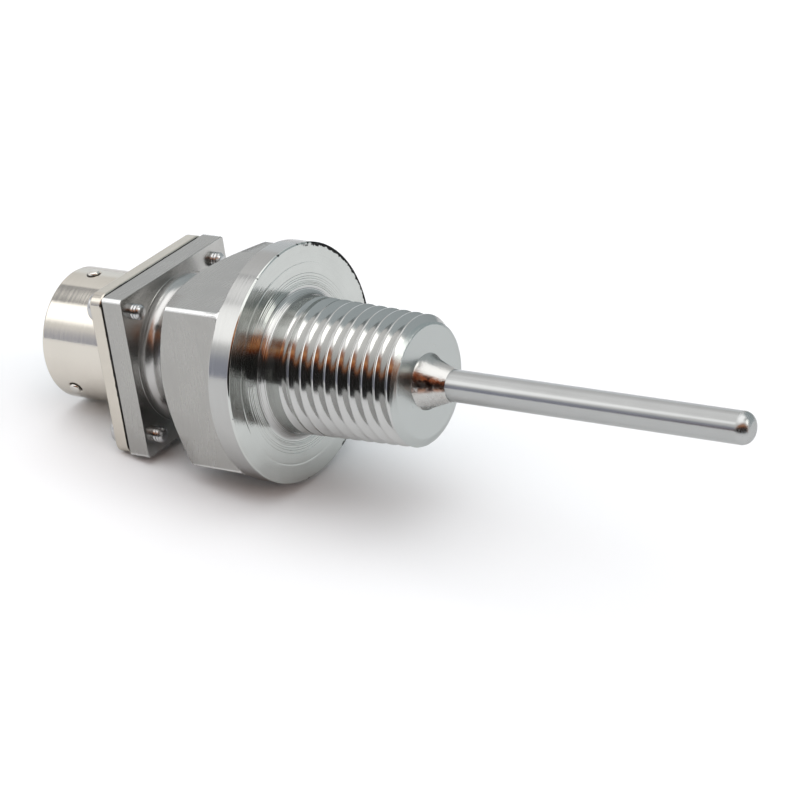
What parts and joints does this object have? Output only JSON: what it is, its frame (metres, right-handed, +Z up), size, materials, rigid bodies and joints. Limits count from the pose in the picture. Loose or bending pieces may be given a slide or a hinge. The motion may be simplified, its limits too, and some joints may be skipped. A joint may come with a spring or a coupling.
{
  "type": "threaded temperature probe",
  "caption": "Steel temperature probe with a taper pipe thread, round flange, square wrench flats, slim sheath and a bayonet socket screwed to its rear plate, lying at rest.",
  "frame": {"origin": "on the floor, under the middle of the probe as it lies at rest", "axes": "+Z up, +X along the floor towards the probe tip; the probe axis rises towards the tip because the probe lies on its round flange and the square connector flange"},
  "size_m": [0.0782, 0.0242, 0.0243],
  "materials": {
    "turned_steel": "turned and milled bright stainless steel",
    "sheath_steel": "drawn bright stainless tube",
    "braze": "smooth silver braze",
    "ceramic": "fired alumina ceramic",
    "powder": "packed oxide powder",
    "resin": "cast resin",
    "gasket_rubber": "black rubber sheet",
    "nickel_plate": "bright nickel plate on aluminium",
    "insert_moulding": "moulded dielectric",
    "screw_steel": "bright stainless steel",
    "lead_metal": "nickel copper wire",
    "contact_gold": "gold plate on copper alloy",
    "pin_steel": "bright stainless steel"
  },
  "bodies": {
    "root": {"process_fitting": "turned_steel", "probe_sheath": "sheath_steel", "braze_fillet": "braze", "sensing_element": "ceramic", "tip_fill": "powder", "insulator_tube": "ceramic", "potting_plug": "resin", "flange_gasket": "gasket_rubber", "connector_shell": "nickel_plate", "insert_retaining_ring": "nickel_plate", "contact_insert": "insert_moulding", "flange_screws": "screw_steel", "lead_wire_1": "lead_metal", "lead_wire_2": "lead_metal", "lead_wire_3": "lead_metal", "lead_wire_4": "lead_metal", "contact_pin_1": "contact_gold", "contact_pin_2": "contact_gold", "contact_pin_3": "contact_gold", "contact_pin_4": "contact_gold", "bayonet_pin_1": "pin_steel", "bayonet_pin_2": "pin_steel", "bayonet_pin_3": "pin_steel"}
  },
  "joints": []
}
